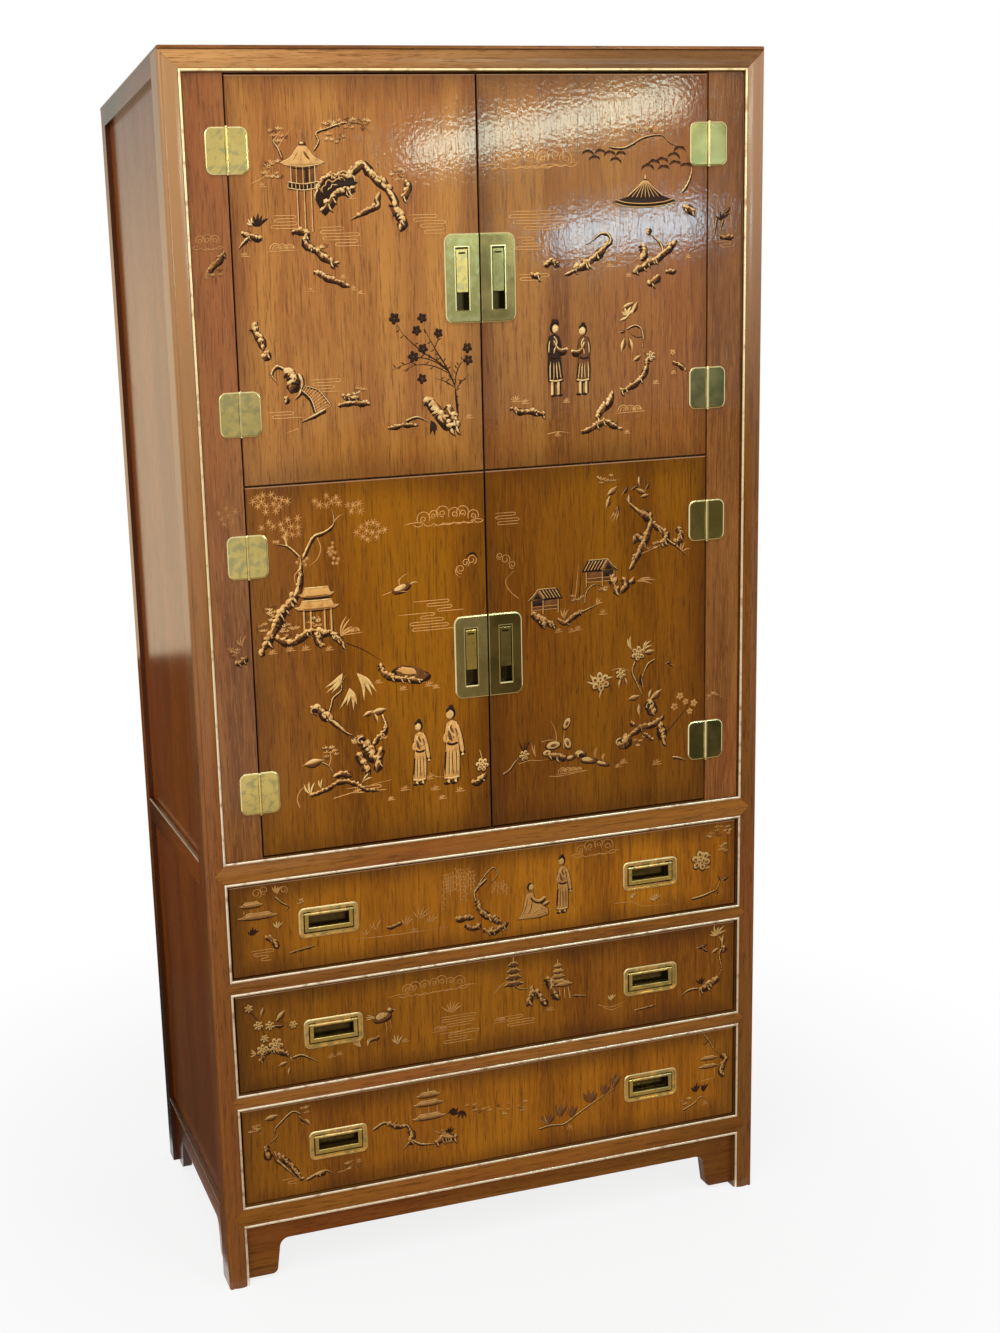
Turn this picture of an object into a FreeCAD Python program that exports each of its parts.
import FreeCAD, Part
import math
import os

# A tall two-stage cabinet: four inset doors over three inset drawers, on bracket feet.
# Everything is drawn from the lower left front corner: u runs right across the front,
# v runs back from the front plane and z runs up. The finished pieces are then moved so that
# the origin is the middle of the footprint on the floor, with +X right, +Y back and +Z up.

Vec = FreeCAD.Vector

# Driving dimensions of the case, all in millimetres
cabinet_width = 1016.0
cabinet_depth = 508.0
cabinet_height = 2032.0
base_height = 114.0
base_rail_face = 30.0
drawer_opening_height = 187.0
top_drawer_opening_height = 173.0
drawer_rail_face = 19.0
mid_rail_face = 31.0
top_rail_face = 28.0
lip_thickness = 5.0
door_split_height = 610.0

# Posts, rails and their mouldings
post_face = 30.0
bead_width = 5.0
front_post_depth = 50.0
rear_post_depth = 36.0
rail_depth = 45.0
arrow_depth = 8.0
band_crown = 1.6
corner_radius = 4.0
quirk_start = 5.2
quirk_width = 2.4
quirk_depth = 1.3
shadow_line = 1.5
bead_crest = 1.4
bead_foot_gap = 2.0
lip_round = 2.0

# Sides and back
panel_recess = 9.0
panel_thickness = 8.0
panel_tongue = 5.0
side_top_rail_face = 32.0
side_mid_rail_face = 42.0
back_panel_thickness = 6.0
back_recess = 4.0
back_rabbet = 10.0
back_lap = 30.0

# Aprons and bracket feet
apron_recess = 12.0
apron_thickness = 18.0
arch_height = 72.0
bracket_lift = 8.0
bracket_toe = 55.0
bracket_neck = 60.0
toe_radius = 11.0
cove_radius = 17.0

# Boards and shelves
board_thickness = 18.0
dust_board_thickness = 12.0
top_core_thickness = 13.0
shelf_thickness = 16.0
shelf_setback = 34.0
shelf_end_gap = 1.0
shelf_rear_gap = 2.0
shelf_height_share = 0.5
shelf_pin_radius = 2.5
shelf_pin_hole_gap = 0.05
shelf_pin_in_panel = 6.0
shelf_pin_reach = 9.0
shelf_pin_inset = 40.0
catch_width = 40.0
catch_depth = 11.0
catch_height = 9.0
catch_offset = 45.0
stop_gap = 0.5

# Doors, drawer fronts and the stiles that carry the hinges
face_recess = 6.0
front_thickness = 20.0
reveal = 3.0
drawer_foot_reveal = 2.0
seam = 2.4
hinge_line = 65.0
stile_gap = 1.5
edge_ease = 1.0

# Surface hinges
leaf_width = 34.0
leaf_height = 70.0
leaf_thickness = 2.0
leaf_corner = 12.0
leaf_bevel = 0.7
barrel_radius = 2.5
barrel_clearance = 0.3
middle_knuckle_share = 0.42
knuckle_gap = 0.2
hinge_pin_radius = 1.2
pin_clearance = 0.05
pin_head_height = 0.8
hinge_inset_share = 0.182

# Door pulls: a plate with a recessed cup and a hanging tab
pull_width = 60.0
pull_height = 140.0
pull_corner = 14.0
pull_height_share = 0.495
plate_thickness = 2.0
plate_bevel = 0.8
slot_width = 22.0
slot_height = 97.0
cup_depth = 12.0
cup_wall = 1.2
cup_fit = 0.2
tab_gap = 1.5
tab_height = 68.0
tab_thickness = 3.0
tab_inset = 0.6
tab_knuckle_radius = 2.6
tab_pin_radius = 1.0
tab_slit_width = 12.0
tab_slit_height = 2.4
tab_slit_gap = 1.2
tab_lip_radius = 1.9

# Drawer pulls: a framed cup with a bail hinged along its top bar
frame_width = 106.0
frame_height = 53.0
frame_corner = 10.0
frame_rim_width = 3.2
frame_rim_height = 1.2
mouth_width = 89.0
mouth_height = 38.0
mouth_corner = 2.5
bail_gap = 2.0
bail_side_bar = 6.5
bail_foot_bar = 7.5
bail_knuckle_length = 10.5
bail_knuckle_radius = 3.2
bail_thickness = 4.0
bail_inset = 0.5
bail_split = 0.3
bail_pin_radius = 1.2
bail_edge = 0.8
drawer_cup_depth = 13.0
pull_from_side = 208.0

# Drawer boxes
drawer_side_thickness = 12.0
drawer_back_thickness = 12.0
drawer_bottom_thickness = 6.0
drawer_bottom_rise = 10.0
drawer_groove = 5.0
drawer_length = 430.0
drawer_side_drop = 22.0
drawer_side_inset = 1.0
running_gap = 0.5
guide_height = 20.0
dovetail_length = 14.0
dovetail_root = 17.0
dovetail_flare = 3.0
dovetail_margin = 12.0
dovetail_count = 4

# How near two points or faces have to be to count as one
joint_tolerance = 0.001

# Worked out from the above
post_width = post_face + bead_width
case_right = cabinet_width - post_width
side_inner = panel_recess + panel_thickness
rear_post_front = cabinet_depth - rear_post_depth
back_panel_rear = cabinet_depth - back_recess
back_panel_front = back_panel_rear - back_panel_thickness
frame_top = cabinet_height - lip_thickness

base_rail_top = base_height + base_rail_face
low_drawer_top = base_rail_top + drawer_opening_height
middle_drawer_foot = low_drawer_top + drawer_rail_face
middle_drawer_top = middle_drawer_foot + drawer_opening_height
top_drawer_foot = middle_drawer_top + drawer_rail_face
top_drawer_top = top_drawer_foot + top_drawer_opening_height
door_opening_foot = top_drawer_top + mid_rail_face
door_opening_top = frame_top - top_rail_face

clear_foot = door_opening_foot + bead_width
clear_top = door_opening_top - bead_width
floor_top = base_rail_top + bead_width
floor_underside = floor_top - board_thickness
deck_underside = clear_foot - board_thickness
door_seam_height = clear_foot + door_split_height
side_bead_top = door_opening_foot
hinge_u = post_width + hinge_line
front_back = face_recess + front_thickness
hinge_axis_v = face_recess - barrel_radius - barrel_clearance
leaf_front = face_recess - leaf_thickness
plate_front = face_recess - plate_thickness
centre_u = cabinet_width / 2


def block(u0, u1, v0, v1, z0, z1):
    return Part.makeBox(u1 - u0, v1 - v0, z1 - z0, Vec(u0, v0, z0))


def outline(start, *steps):
    # A step is the next corner, or a pair of points: one on an arc and the arc's end
    edges = []
    here = start
    for step in steps:
        if isinstance(step, tuple):
            edges.append(Part.Arc(here, step[0], step[1]).toShape())
            here = step[1]
        else:
            edges.append(Part.LineSegment(here, step).toShape())
            here = step
    if not here.isEqual(start, joint_tolerance):
        edges.append(Part.LineSegment(here, start).toShape())
    return Part.Face(Part.Wire(edges))


def mirrored(shape):
    return shape.mirror(Vec(centre_u, 0, 0), Vec(1, 0, 0))


def rod(radius, length, centre, axis):
    # A round rod centred on a point
    direction = Vec(*axis)
    return Part.makeCylinder(radius, length, centre - direction * (length / 2), direction)


def corner_arc(centre, radius, turn_from, turn_to):
    # The middle and end of an arc about a centre in the u, z plane, angles in degrees
    points = []
    for turn in ((turn_from + turn_to) / 2, turn_to):
        angle = math.radians(turn)
        points.append(centre + Vec(radius * math.cos(angle), 0, radius * math.sin(angle)))
    return tuple(points)


def rounded_plate(u0, u1, z0, z1, v, radii):
    # An upright rectangle with radii at lower left, lower right, upper right, upper left
    low_left, low_right, high_right, high_left = radii
    steps = [Vec(u1 - low_right, v, z0)]
    if low_right:
        steps.append(corner_arc(Vec(u1 - low_right, v, z0 + low_right), low_right, -90, 0))
    steps.append(Vec(u1, v, z1 - high_right))
    if high_right:
        steps.append(corner_arc(Vec(u1 - high_right, v, z1 - high_right), high_right, 0, 90))
    steps.append(Vec(u0 + high_left, v, z1))
    if high_left:
        steps.append(corner_arc(Vec(u0 + high_left, v, z1 - high_left), high_left, 90, 180))
    steps.append(Vec(u0, v, z0 + low_left))
    if low_left:
        steps.append(corner_arc(Vec(u0 + low_left, v, z0 + low_left), low_left, 180, 270))
    return outline(Vec(u0 + low_left, v, z0), *steps)


def bevel_front_rim(solid, v_front, size):
    # Bevels the outer rim of a plate's front face
    rim = []
    for edge in solid.Edges:
        box = edge.BoundBox
        if box.YMin > v_front - joint_tolerance and box.YMax < v_front + joint_tolerance:
            rim.append(edge)
    return solid.makeChamfer(size, rim)


# Posts


def front_post():
    band_start = quirk_start + quirk_width
    quirk_middle = quirk_start + quirk_width / 2
    band_middle = (band_start + post_face) / 2
    corner_inset = corner_radius * (1 - math.sqrt(0.5))
    section = outline(
        Vec(0, front_post_depth, 0),
        Vec(0, band_start, 0),
        Vec(quirk_depth, quirk_middle, 0),
        Vec(0, quirk_start, 0),
        Vec(0, corner_radius, 0),
        (Vec(corner_inset, corner_inset, 0), Vec(corner_radius, 0, 0)),
        Vec(quirk_start, 0, 0),
        Vec(quirk_middle, quirk_depth, 0),
        Vec(band_start, band_crown, 0),
        (Vec(band_middle, 0, 0), Vec(post_face, band_crown, 0)),
        Vec(post_face, bead_width, 0),
        Vec(post_width, bead_width, 0),
        Vec(post_width, front_post_depth, 0),
    )
    post = section.extrude(Vec(0, 0, frame_top))
    post = post.cut(top_mitre_layer())
    for low, high in rail_faces():
        post = post.cut(arrow_layer(low, high))
    for panel in side_panels():
        post = post.cut(panel)
    return post


def rear_post():
    post = block(0, post_width, rear_post_front, cabinet_depth, 0, frame_top)
    upright = [e for e in post.Edges if e.BoundBox.ZLength > frame_top / 2]
    outer = [e for e in upright if e.BoundBox.XMax < post_face and e.BoundBox.YMin > rear_post_front]
    post = post.makeFillet(corner_radius, outer)
    post = post.cut(back_panel_blank())
    rear_rabbet = block(post_width - back_rabbet, post_width, back_panel_rear, cabinet_depth, 0, frame_top)
    post = post.cut(rear_rabbet)
    for panel in side_panels():
        post = post.cut(panel)
    return post


# Front rails, each with a crowned face, beads let into its edges and pointed ends


def rail_faces():
    return [
        (base_height, base_rail_top),
        (low_drawer_top, middle_drawer_foot),
        (middle_drawer_top, top_drawer_foot),
        (top_drawer_top, door_opening_foot),
    ]


def arrow_layer(low, high):
    middle = (low + high) / 2
    point = post_face - (high - low) / 2
    face = outline(
        Vec(post_face, 0, low),
        Vec(cabinet_width - post_face, 0, low),
        Vec(cabinet_width - point, 0, middle),
        Vec(cabinet_width - post_face, 0, high),
        Vec(post_face, 0, high),
        Vec(point, 0, middle),
    )
    return face.extrude(Vec(0, arrow_depth, 0))


def top_mitre_layer():
    face = outline(
        Vec(0, 0, frame_top),
        Vec(post_face, 0, door_opening_top),
        Vec(cabinet_width - post_face, 0, door_opening_top),
        Vec(cabinet_width, 0, frame_top),
    )
    return face.extrude(Vec(0, arrow_depth, 0))


def rail(low, high):
    section = outline(
        Vec(0, band_crown, low),
        (Vec(0, 0, (low + high) / 2), Vec(0, band_crown, high)),
        Vec(0, bead_width, high),
        Vec(0, bead_width, high + bead_width),
        Vec(0, rail_depth, high + bead_width),
        Vec(0, rail_depth, low - bead_width),
        Vec(0, bead_width, low - bead_width),
        Vec(0, bead_width, low),
    )
    stock = section.extrude(Vec(cabinet_width, 0, 0))
    body = block(post_width, case_right, 0, rail_depth, low - bead_width, high + bead_width)
    return stock.common(body.fuse(arrow_layer(low, high)))


def top_rail():
    low = door_opening_top
    section = outline(
        Vec(0, band_crown, low),
        (Vec(0, 0, (low + frame_top - shadow_line) / 2), Vec(0, band_crown, frame_top - shadow_line)),
        Vec(0, band_crown + shadow_line, frame_top),
        Vec(0, rail_depth, frame_top),
        Vec(0, rail_depth, low - bead_width),
        Vec(0, bead_width, low - bead_width),
        Vec(0, bead_width, low),
    )
    stock = section.extrude(Vec(cabinet_width, 0, 0))
    body = block(post_width, case_right, 0, rail_depth, low - bead_width, frame_top)
    return stock.common(body.fuse(top_mitre_layer())).common(footprint(0, frame_top))


def footprint(low, high):
    # The case's plan, with its front corners rounded like the posts
    inset = corner_radius * (1 - math.sqrt(0.5))
    right = cabinet_width
    plan = outline(
        Vec(0, cabinet_depth, low),
        Vec(0, corner_radius, low),
        (Vec(inset, inset, low), Vec(corner_radius, 0, low)),
        Vec(right - corner_radius, 0, low),
        (Vec(right - inset, inset, low), Vec(right, corner_radius, low)),
        Vec(right, cabinet_depth, low),
    )
    return plan.extrude(Vec(0, 0, high - low))


# Aprons with bracket feet


def apron_face(length, high):
    # In s and z: s runs along the apron from one post to the other
    neck_drop = arch_height - cove_radius

    def half(s_of):
        cove_inset = cove_radius * (1 - math.sqrt(0.5))
        toe_inset = toe_radius * (1 - math.sqrt(0.5))
        return [
            Vec(s_of(bracket_toe - toe_radius), 0, bracket_lift),
            (
                Vec(s_of(bracket_toe - toe_inset), 0, bracket_lift + toe_inset),
                Vec(s_of(bracket_toe), 0, bracket_lift + toe_radius),
            ),
            Vec(s_of(bracket_neck), 0, neck_drop),
            (
                Vec(s_of(bracket_neck + cove_inset), 0, arch_height - cove_inset),
                Vec(s_of(bracket_neck + cove_radius), 0, arch_height),
            ),
        ]

    far_toe, far_toe_arc, far_neck, far_cove_arc = half(lambda s: length - s)
    steps = half(lambda s: s)
    steps.append(far_cove_arc[1])
    steps.append((far_cove_arc[0], far_neck))
    steps.append(far_toe_arc[1])
    steps.append((far_toe_arc[0], far_toe))
    steps.append(Vec(length, 0, bracket_lift))
    steps.append(Vec(length, 0, high))
    steps.append(Vec(0, 0, high))
    return outline(Vec(0, 0, bracket_lift), *steps)


def front_apron():
    apron = apron_face(case_right - post_width, base_height - bead_width)
    apron.translate(Vec(post_width, apron_recess, 0))
    return apron.extrude(Vec(0, apron_thickness, 0))


def back_apron():
    apron = apron_face(case_right - post_width, floor_underside)
    apron.translate(Vec(post_width, back_panel_front - apron_thickness, 0))
    return apron.extrude(Vec(0, apron_thickness, 0))


def side_apron():
    apron = apron_face(rear_post_front - front_post_depth, floor_underside)
    apron.rotate(Vec(0, 0, 0), Vec(0, 0, 1), 90)
    apron.translate(Vec(panel_recess, front_post_depth, 0))
    return apron.extrude(Vec(apron_thickness, 0, 0))


# Sides and back


def side_panels():
    spans = [
        (floor_underside, side_bead_top - side_mid_rail_face + panel_tongue),
        (side_bead_top - panel_tongue - bead_width, frame_top - side_top_rail_face + panel_tongue),
    ]
    v0 = front_post_depth - panel_tongue
    v1 = rear_post_front + panel_tongue
    return [block(panel_recess, side_inner, v0, v1, low, high) for low, high in spans]


def side_rails():
    mid_low = side_bead_top - side_mid_rail_face
    top = block(0, side_inner, front_post_depth, rear_post_front, frame_top - side_top_rail_face, frame_top)
    middle = block(0, side_inner, front_post_depth, rear_post_front, mid_low, side_bead_top - bead_width)
    rails = []
    for piece in (top, middle):
        for panel in side_panels():
            piece = piece.cut(panel)
        rails.append(piece)
    rails.append(side_apron())
    return rails


def back_panel_blank():
    left = post_width - back_rabbet
    return block(left, cabinet_width - left, back_panel_front, back_panel_rear,
                 floor_underside - back_lap, frame_top)


# Boards inside the case


def case_board(low, thickness, front_edge):
    # A board let in round the four posts
    half = [
        (post_width, front_edge),
        (post_width, front_post_depth),
        (side_inner, front_post_depth),
        (side_inner, rear_post_front),
        (post_width, rear_post_front),
        (post_width, back_panel_front),
    ]
    points = half + [(cabinet_width - u, v) for u, v in reversed(half)]
    corners = [Vec(u, v, low) for u, v in points]
    return outline(corners[0], *corners[1:]).extrude(Vec(0, 0, thickness))


def top_board():
    lip = footprint(frame_top, cabinet_height)
    crown_edges = [e for e in lip.Edges if e.BoundBox.ZMin > cabinet_height - lip_round / 2]
    lip = lip.makeFillet(lip_round, crown_edges)
    core = case_board(frame_top - top_core_thickness, top_core_thickness, rail_depth)
    return lip.fuse(core).removeSplitter()


def shelf_levels():
    # The underside of each loose shelf, one in each cupboard
    divider_top = door_seam_height + board_thickness / 2
    divider_underside = door_seam_height - board_thickness / 2
    core_underside = frame_top - top_core_thickness
    lower = clear_foot + (divider_underside - clear_foot) * shelf_height_share
    upper = divider_top + (core_underside - divider_top) * shelf_height_share
    return [lower, upper]


def loose_shelf(low):
    left = side_inner + shelf_end_gap
    front_edge = front_back + shelf_setback
    rear_edge = rear_post_front - shelf_rear_gap
    return block(left, cabinet_width - left, front_edge, rear_edge, low, low + shelf_thickness)


def shelf_pin_centres():
    front_edge = front_back + shelf_setback
    rear_edge = rear_post_front - shelf_rear_gap
    centres = []
    for low in shelf_levels():
        for v in (front_edge + shelf_pin_inset, rear_edge - shelf_pin_inset):
            centres.append((v, low - shelf_pin_radius))
    return centres


def shelf_pins():
    left = []
    start = side_inner - shelf_pin_in_panel
    for v, z in shelf_pin_centres():
        length = shelf_pin_in_panel + shelf_pin_reach
        left.append(Part.makeCylinder(shelf_pin_radius, length, Vec(start, v, z), Vec(1, 0, 0)))
    return left + [mirrored(pin) for pin in left]


def drilled_side_panels():
    panels = side_panels()
    for index, panel in enumerate(panels):
        for v, z in shelf_pin_centres():
            hole = Part.makeCylinder(
                shelf_pin_radius + shelf_pin_hole_gap,
                shelf_pin_in_panel,
                Vec(side_inner - shelf_pin_in_panel, v, z),
                Vec(1, 0, 0),
            )
            panel = panel.cut(hole)
        panels[index] = panel
    return panels


def door_catches():
    # Magnet blocks on the divider's two faces, just behind the meeting edges of the doors
    half = board_thickness / 2
    v0 = front_back + stop_gap
    blocks = []
    for low in (door_seam_height + half, door_seam_height - half - catch_height):
        u0 = centre_u - catch_offset - catch_width / 2
        body = block(u0, u0 + catch_width, v0, v0 + catch_depth, low, low + catch_height)
        blocks.append(body)
        blocks.append(mirrored(body))
    return blocks


# Gilt beads, mitred round each opening


def bead_strip(length):
    # Lies along u with its outer edge at z = 0 and its nose to the front, square ended
    section = outline(
        Vec(0, bead_width, 0),
        Vec(0, bead_crest, 0),
        (Vec(0, 0, bead_width / 2), Vec(0, bead_crest, bead_width)),
        Vec(0, bead_width, bead_width),
    )
    return section.extrude(Vec(length, 0, 0))


def mitred_bead(length, left_mitre, right_mitre):
    strip = bead_strip(length)
    for wanted, here, inward in ((left_mitre, 0, 1), (right_mitre, length, -1)):
        if wanted:
            wedge = outline(
                Vec(here, 0, 0),
                Vec(here, 0, bead_width),
                Vec(here + inward * bead_width, 0, bead_width),
            )
            strip = strip.cut(wedge.extrude(Vec(0, bead_width, 0)))
    return strip


def placed_bead(length, mitres, corner, turn):
    strip = mitred_bead(length, *mitres)
    strip.rotate(Vec(0, 0, 0), Vec(0, 1, 0), turn)
    strip.translate(corner)
    return strip


def bead_frame(low, high):
    # Four strips round an opening, their outer edges on the members' faces
    left = post_face
    right = cabinet_width - post_face
    both = (True, True)
    return [
        placed_bead(right - left, both, Vec(left, 0, low), 0),
        placed_bead(high - low, both, Vec(right, 0, low), -90),
        placed_bead(right - left, both, Vec(right, 0, high), 180),
        placed_bead(high - low, both, Vec(left, 0, high), 90),
    ]


def apron_beads():
    left = post_face
    right = cabinet_width - post_face
    height = base_height - bead_foot_gap
    return [
        placed_bead(right - left, (True, True), Vec(right, 0, base_height), 180),
        placed_bead(height, (True, False), Vec(left, 0, base_height), 90),
        placed_bead(height, (False, True), Vec(right, 0, bead_foot_gap), -90),
    ]


def side_beads():
    length = rear_post_front - front_post_depth
    beads = []
    for low in (floor_underside, side_bead_top - bead_width):
        strip = bead_strip(length)
        strip.rotate(Vec(0, 0, 0), Vec(0, 0, 1), -90)
        strip.translate(Vec(0, rear_post_front, low))
        beads.append(strip)
        beads.append(mirrored(strip))
    return beads


# Hinge stiles and surface hinges


def hinge_stile():
    left = post_width + stile_gap
    right = hinge_u - seam / 2
    return block(left, right, face_recess, front_back, clear_foot, clear_top)


def door_zone(upper):
    # The foot and head of the height that one door closes
    if upper:
        return door_seam_height, clear_top
    return clear_foot, door_seam_height


def hinge_heights(upper):
    low, high = door_zone(upper)
    inset = (high - low) * hinge_inset_share
    return [low + inset, high - inset]


def all_hinge_heights():
    # The lower door's two hinges, then the upper door's
    return hinge_heights(False) + hinge_heights(True)


def knuckle_spans(centre):
    half = leaf_height / 2
    middle = leaf_height * middle_knuckle_share / 2
    return [
        (centre - half, centre - middle - knuckle_gap),
        (centre - middle, centre + middle),
        (centre + middle + knuckle_gap, centre + half),
    ]


def barrel_part(radius, low, high):
    return Part.makeCylinder(radius, high - low, Vec(hinge_u, hinge_axis_v, low), Vec(0, 0, 1))


def hinge_leaf(centre, own_spans, other_spans, outward):
    # A plate with round outer corners that joins its own knuckles and clears the others
    low = centre - leaf_height / 2
    high = centre + leaf_height / 2
    far = hinge_u + outward * leaf_width
    if outward < 0:
        radii = (leaf_corner, 0, 0, leaf_corner)
        plate = rounded_plate(far, hinge_u, low, high, leaf_front, radii)
    else:
        radii = (0, leaf_corner, leaf_corner, 0)
        plate = rounded_plate(hinge_u, far, low, high, leaf_front, radii)
    leaf = plate.extrude(Vec(0, leaf_thickness, 0))
    leaf = bevel_front_rim(leaf, leaf_front, leaf_bevel)
    clear = barrel_radius + barrel_clearance
    for span_low, span_high in other_spans:
        gap_low = span_low - knuckle_gap if span_low > low else span_low
        gap_high = span_high + knuckle_gap if span_high < high else span_high
        leaf = leaf.cut(block(hinge_u - clear, hinge_u + clear, 0, front_back, gap_low, gap_high))
    bore = barrel_part(hinge_pin_radius + pin_clearance, low, high)
    for span_low, span_high in own_spans:
        leaf = leaf.fuse(barrel_part(barrel_radius, span_low, span_high))
    return leaf.cut(bore).removeSplitter()


def fixed_leaf(centre):
    low, middle, high = knuckle_spans(centre)
    return hinge_leaf(centre, [low, high], [middle], -1)


def door_leaf(centre):
    low, middle, high = knuckle_spans(centre)
    return hinge_leaf(centre, [middle], [low, high], 1)


def hinge_pin(centre):
    low = centre - leaf_height / 2
    high = centre + leaf_height / 2
    pin = barrel_part(hinge_pin_radius, low, high)
    top_head = barrel_part(barrel_radius, high, high + pin_head_height)
    foot_head = barrel_part(barrel_radius, low - pin_head_height, low)
    return pin.fuse([top_head, foot_head]).removeSplitter()


# Doors with their pulls, drawn for the left side


def door_span(upper):
    low, high = door_zone(upper)
    if upper:
        return low + seam / 2, high - reveal
    return low + reveal, high - seam / 2


def pull_centre(upper):
    low, high = door_zone(upper)
    height = low + (high - low) * pull_height_share
    right = centre_u - seam / 2
    return right - pull_width / 2, height


def door_panel(upper):
    low, high = door_span(upper)
    left = hinge_u + seam / 2
    right = centre_u - seam / 2
    door = block(left, right, face_recess, front_back, low, high)
    face_rim = [e for e in door.Edges if e.BoundBox.YMax < face_recess + edge_ease]
    door = door.makeChamfer(edge_ease, face_rim)
    u, z = pull_centre(upper)
    half_u = slot_width / 2 + cup_wall + cup_fit
    half_z = slot_height / 2 + cup_wall + cup_fit
    depth = cup_depth + cup_wall + cup_fit
    pocket = block(u - half_u, u + half_u, face_recess, face_recess + depth, z - half_z, z + half_z)
    return door.cut(pocket)


def tab_pin_place(upper):
    u, z = pull_centre(upper)
    v = plate_front + tab_inset + tab_knuckle_radius
    return Vec(u, v, z + slot_height / 2 - tab_gap - tab_knuckle_radius)


def pull_plate(upper):
    u, z = pull_centre(upper)
    half_u = pull_width / 2
    half_z = pull_height / 2
    radii = (pull_corner, 0, 0, pull_corner)
    plate = rounded_plate(u - half_u, u + half_u, z - half_z, z + half_z, plate_front, radii)
    plate = bevel_front_rim(plate.extrude(Vec(0, plate_thickness, 0)), plate_front, plate_bevel)
    cup_u = slot_width / 2 + cup_wall
    cup_z = slot_height / 2 + cup_wall
    cup_back = face_recess + cup_depth + cup_wall
    cup = block(u - cup_u, u + cup_u, face_recess, cup_back, z - cup_z, z + cup_z)
    hollow = block(
        u - slot_width / 2, u + slot_width / 2, plate_front, face_recess + cup_depth,
        z - slot_height / 2, z + slot_height / 2,
    )
    pin_hole = rod(tab_pin_radius + pin_clearance, 2 * cup_u, tab_pin_place(upper), (1, 0, 0))
    foot_lead = outline(
        Vec(u - slot_width / 2, plate_front, z - slot_height / 2),
        Vec(u - slot_width / 2, plate_front, z - slot_height / 2 - plate_thickness),
        Vec(u - slot_width / 2, plate_front + plate_thickness, z - slot_height / 2),
    ).extrude(Vec(slot_width, 0, 0))
    return plate.fuse(cup).cut(hollow).cut(pin_hole).cut(foot_lead).removeSplitter()


def tab_pin(upper):
    return rod(tab_pin_radius, slot_width + 2 * cup_wall, tab_pin_place(upper), (1, 0, 0))


def pull_tab(upper):
    u, z = pull_centre(upper)
    pivot = tab_pin_place(upper)
    half = slot_width / 2 - tab_gap
    face_v = plate_front + tab_inset
    top = z + slot_height / 2 - tab_gap
    low = top - tab_height
    strip = block(u - half, u + half, face_v, face_v + tab_thickness, low, pivot.z)
    knuckle = rod(tab_knuckle_radius, 2 * half, pivot, (1, 0, 0))
    lip_centre = Vec(u, face_v + tab_lip_radius, low + tab_lip_radius)
    lip = rod(tab_lip_radius, 2 * half, lip_centre, (1, 0, 0))
    slit_top = pivot.z - tab_knuckle_radius - tab_slit_gap
    slit_half = tab_slit_width / 2
    slit = block(u - slit_half, u + slit_half, 0, front_back, slit_top - tab_slit_height, slit_top)
    bore = rod(tab_pin_radius + pin_clearance, 2 * half, pivot, (1, 0, 0))
    return strip.fuse([knuckle, lip]).cut(slit).cut(bore).removeSplitter()


# Drawers


def drawer_openings():
    # Lowest and highest clear height of each opening, from the top drawer down
    return [
        (top_drawer_foot + bead_width, top_drawer_top - bead_width),
        (middle_drawer_foot + bead_width, middle_drawer_top - bead_width),
        (base_rail_top + bead_width, low_drawer_top - bead_width),
    ]


def drawer_front(opening):
    low, high = opening
    left = post_width + reveal
    right = cabinet_width - left
    front = block(left, right, face_recess, front_back, low + drawer_foot_reveal, high - reveal)
    face_rim = [e for e in front.Edges if e.BoundBox.YMax < face_recess + edge_ease]
    front = front.makeChamfer(edge_ease, face_rim)
    for side in drawer_sides(opening):
        front = front.cut(side)
    front = front.cut(drawer_bottom(opening))
    for u, z in drawer_pull_centres(opening):
        half_u = mouth_width / 2 + cup_wall + cup_fit
        half_z = mouth_height / 2 + cup_wall + cup_fit
        back = face_recess + drawer_cup_depth + cup_wall + cup_fit
        front = front.cut(block(u - half_u, u + half_u, face_recess, back, z - half_z, z + half_z))
    return front


def drawer_side_left():
    return post_width + reveal + drawer_side_inset


def drawer_sides(opening):
    low, high = opening
    left = drawer_side_left()
    right = left + drawer_side_thickness
    foot = low + running_gap
    top = high - drawer_side_drop
    side = block(left, right, front_back, front_back + drawer_length, foot, top)
    first = low + drawer_foot_reveal + dovetail_margin + dovetail_root / 2
    last = top - dovetail_margin - dovetail_root / 2
    for index in range(dovetail_count):
        centre = first + (last - first) * index / (dovetail_count - 1)
        root = dovetail_root / 2
        tip = root + dovetail_flare
        tail = outline(
            Vec(left, front_back, centre - root),
            Vec(left, front_back - dovetail_length, centre - tip),
            Vec(left, front_back - dovetail_length, centre + tip),
            Vec(left, front_back, centre + root),
        )
        side = side.fuse(tail.extrude(Vec(drawer_side_thickness, 0, 0)))
    side = side.removeSplitter()
    return [side, mirrored(side)]


def drawer_bottom(opening):
    low = opening[0] + running_gap + drawer_bottom_rise
    left = drawer_side_left() + drawer_side_thickness - drawer_groove
    return block(left, cabinet_width - left, front_back - drawer_groove, front_back + drawer_length,
                 low, low + drawer_bottom_thickness)


def drawer_back(opening):
    left = drawer_side_left() + drawer_side_thickness
    rear = front_back + drawer_length
    foot = opening[0] + running_gap + drawer_bottom_rise + drawer_bottom_thickness
    return block(left, cabinet_width - left, rear - drawer_back_thickness, rear,
                 foot, opening[1] - drawer_side_drop)


def drawer_box(opening):
    bottom = drawer_bottom(opening)
    sides = [side.cut(bottom) for side in drawer_sides(opening)]
    return sides + [drawer_back(opening), bottom]


def drawer_guides():
    # Strips beside the drawer sides, between the front and rear posts
    guides = []
    for low, high in drawer_openings():
        right = drawer_side_left() - running_gap
        strip = block(side_inner, right, front_post_depth, rear_post_front, low, low + guide_height)
        guides.append(strip)
        guides.append(mirrored(strip))
    return guides


# Drawer pulls


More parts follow.
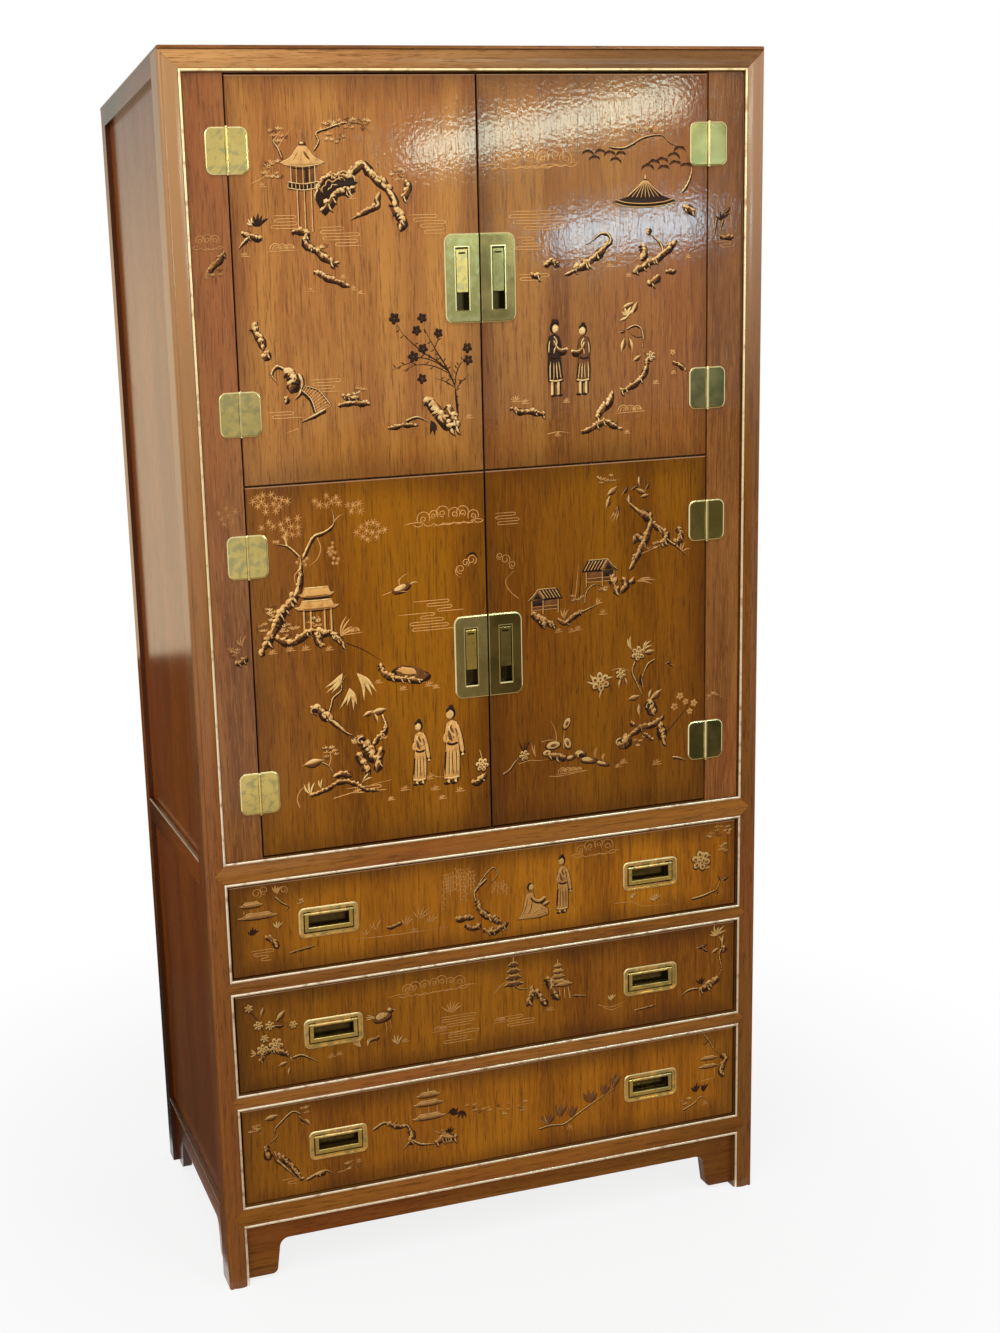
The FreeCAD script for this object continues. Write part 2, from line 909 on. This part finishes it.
def drawer_pull_centres(opening):
    height = (opening[0] + opening[1]) / 2
    return [(pull_from_side, height), (cabinet_width - pull_from_side, height)]


def bail_pivot(u, z):
    v = plate_front + bail_inset + bail_knuckle_radius
    return Vec(u, v, z + mouth_height / 2 - bail_gap - bail_knuckle_radius)


def drawer_pull_plate(u, z):
    half_u = frame_width / 2
    half_z = frame_height / 2
    round_all = (frame_corner,) * 4
    plate = rounded_plate(u - half_u, u + half_u, z - half_z, z + half_z, plate_front, round_all)
    plate = bevel_front_rim(plate.extrude(Vec(0, plate_thickness, 0)), plate_front, plate_bevel)
    inner_u = half_u - frame_rim_width
    inner_z = half_z - frame_rim_width
    inner_round = (frame_corner - frame_rim_width,) * 4
    tray = rounded_plate(u - inner_u, u + inner_u, z - inner_z, z + inner_z, plate_front, inner_round)
    plate = plate.cut(tray.extrude(Vec(0, frame_rim_height, 0)))
    cup_u = mouth_width / 2 + cup_wall
    cup_z = mouth_height / 2 + cup_wall
    cup_back = face_recess + drawer_cup_depth + cup_wall
    cup = block(u - cup_u, u + cup_u, face_recess, cup_back, z - cup_z, z + cup_z)
    mouth = rounded_plate(
        u - mouth_width / 2, u + mouth_width / 2, z - mouth_height / 2, z + mouth_height / 2,
        plate_front, (mouth_corner,) * 4,
    ).extrude(Vec(0, plate_thickness + drawer_cup_depth, 0))
    pivot = bail_pivot(u, z)
    bar_half = mouth_width / 2 - bail_gap - bail_knuckle_length - bail_split
    bar = rod(bail_knuckle_radius, 2 * bar_half, pivot, (1, 0, 0))
    web = block(u - bar_half, u + bar_half, pivot.y, face_recess + drawer_cup_depth,
                pivot.z, z + mouth_height / 2)
    hole = rod(bail_pin_radius + pin_clearance, 2 * cup_u, pivot, (1, 0, 0))
    return plate.fuse(cup).cut(mouth).fuse([bar, web]).cut(hole).removeSplitter()


def bail_pin(u, z):
    return rod(bail_pin_radius, mouth_width + 2 * cup_wall, bail_pivot(u, z), (1, 0, 0))


def bail(u, z):
    pivot = bail_pivot(u, z)
    half = mouth_width / 2 - bail_gap
    face_v = plate_front + bail_inset
    low = z - mouth_height / 2 + bail_gap
    plate = block(u - half, u + half, face_v, face_v + bail_thickness, low, pivot.z)
    inner = half - bail_side_bar
    opening = block(u - inner, u + inner, 0, front_back, low + bail_foot_bar, pivot.z)
    ring = plate.cut(opening)
    long_edges = [e for e in ring.Edges if e.BoundBox.XLength > half]
    face_edges = [e for e in long_edges if e.BoundBox.YMax < face_v + bail_edge]
    ring = ring.makeChamfer(bail_edge, face_edges)
    knuckles = []
    for side in (-1, 1):
        centre = pivot + Vec(side * (half - bail_knuckle_length / 2), 0, 0)
        knuckles.append(rod(bail_knuckle_radius, bail_knuckle_length, centre, (1, 0, 0)))
    bore = rod(bail_pin_radius + pin_clearance, 2 * half, pivot, (1, 0, 0))
    return ring.fuse(knuckles).cut(bore).removeSplitter()


# Every node of the cabinet, by name


def collect():
    nodes = {}
    post = front_post()
    nodes["front_left_post"] = [post]
    nodes["front_right_post"] = [mirrored(post)]
    back_post = rear_post()
    nodes["rear_posts"] = [back_post, mirrored(back_post)]
    faces = rail_faces()
    nodes["base_rail"] = [rail(*faces[0])]
    nodes["drawer_rails"] = [rail(*faces[1]), rail(*faces[2])]
    nodes["mid_rail"] = [rail(*faces[3])]
    nodes["top_rail"] = [top_rail()]
    nodes["front_apron"] = [front_apron()]
    nodes["back_apron"] = [back_apron()]
    rails = side_rails()
    nodes["left_side_rails"] = rails
    nodes["right_side_rails"] = [mirrored(piece) for piece in rails]
    panels = drilled_side_panels()
    nodes["left_side_panels"] = panels
    nodes["right_side_panels"] = [mirrored(piece) for piece in panels]
    nodes["back_panel"] = [back_panel_blank()]
    nodes["top_board"] = [top_board()]
    nodes["case_floor"] = [case_board(floor_underside, board_thickness, rail_depth)]
    openings = drawer_openings()
    nodes["dust_boards"] = [
        case_board(low - dust_board_thickness, dust_board_thickness, rail_depth)
        for low, high in openings[:2]
    ]
    nodes["drawer_deck"] = [case_board(deck_underside, board_thickness, rail_depth)]
    divider_low = door_seam_height - board_thickness / 2
    nodes["divider_shelf"] = [case_board(divider_low, board_thickness, front_back + stop_gap)]
    nodes["loose_shelves"] = [loose_shelf(low) for low in shelf_levels()]
    nodes["shelf_pins"] = shelf_pins()
    nodes["door_catches"] = door_catches()
    stile = hinge_stile()
    nodes["hinge_stiles"] = [stile, mirrored(stile)]
    nodes["door_opening_bead"] = bead_frame(door_opening_foot, door_opening_top)
    lower_beads = []
    for low, high in openings:
        lower_beads += bead_frame(low - bead_width, high + bead_width)
    nodes["case_beads"] = lower_beads + apron_beads() + side_beads()
    heights = all_hinge_heights()
    fixed = [fixed_leaf(z) for z in heights]
    pins = [hinge_pin(z) for z in heights]
    nodes["fixed_hinge_leaves"] = fixed + [mirrored(leaf) for leaf in fixed]
    nodes["hinge_pins"] = pins + [mirrored(pin) for pin in pins]
    nodes["drawer_guides"] = drawer_guides()

    for level, upper in (("lower", False), ("upper", True)):
        door_hinges = heights[2:] if upper else heights[:2]
        pieces = {
            "door": [door_panel(upper)],
            "door_hinge_leaves": [door_leaf(z) for z in door_hinges],
            "door_pull": [pull_plate(upper), tab_pin(upper)],
            "door_pull_tab": [pull_tab(upper)],
        }
        for name, solids in pieces.items():
            nodes[level + "_left_" + name] = solids
            nodes[level + "_right_" + name] = [mirrored(solid) for solid in solids]

    for level, opening in zip(("top", "middle", "bottom"), openings):
        nodes[level + "_drawer_front"] = [drawer_front(opening)]
        nodes[level + "_drawer_box"] = drawer_box(opening)
        pull_solids = []
        for side, (u, z) in zip(("left", "right"), drawer_pull_centres(opening)):
            pull_solids += [drawer_pull_plate(u, z), bail_pin(u, z)]
            nodes[level + "_drawer_" + side + "_bail"] = [bail(u, z)]
        nodes[level + "_drawer_pulls"] = pull_solids
    return nodes


def save(nodes):
    os.makedirs("parts", exist_ok=True)
    to_origin = Vec(-cabinet_width / 2, -cabinet_depth / 2, 0)
    for name, solids in nodes.items():
        moved = []
        for solid in solids:
            copy = solid.copy()
            copy.translate(to_origin)
            moved += copy.Solids
        shape = moved[0] if len(moved) == 1 else Part.makeCompound(moved)
        shape.exportStep("parts/" + name + ".step")
        print(name, len(moved), "solids", round(sum(s.Volume for s in moved)), "mm3")


save(collect())
